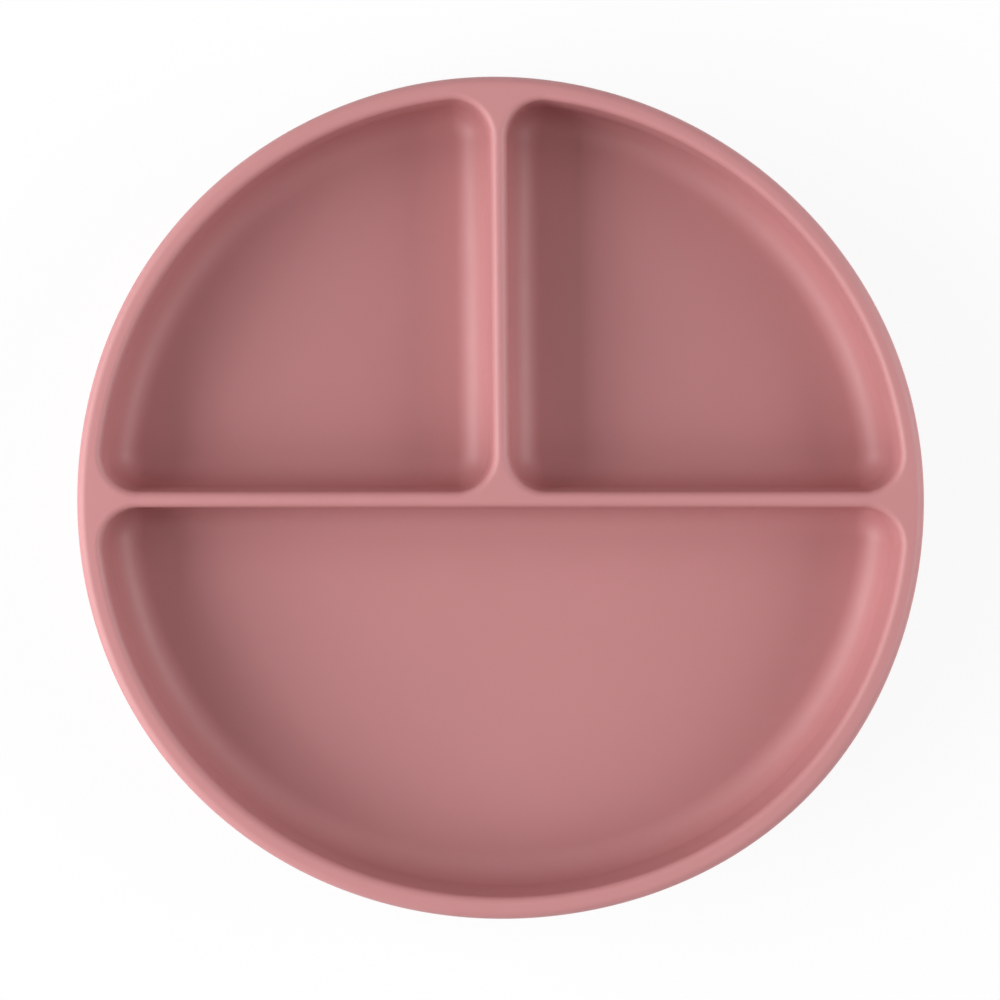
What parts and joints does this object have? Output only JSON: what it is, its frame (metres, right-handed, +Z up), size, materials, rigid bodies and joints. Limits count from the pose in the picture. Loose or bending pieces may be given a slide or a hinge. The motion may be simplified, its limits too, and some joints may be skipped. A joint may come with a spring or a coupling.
{
  "type": "divided plate",
  "caption": "Round divided plate of soft silicone rubber, with small and large food compartments between rounded dividers and a suction foot that holds it to the table",
  "frame": {"origin": "centre of the suction foot on the table, under the centre of the round rim", "axes": "+Z up, +X along the long divider, +Y along the short divider, away from the large compartment"},
  "size_m": [0.19, 0.19, 0.03],
  "materials": {
    "silicone": "smooth matte silicone rubber, dusty rose"
  },
  "bodies": {
    "root": {"plate": "silicone"}
  },
  "joints": []
}
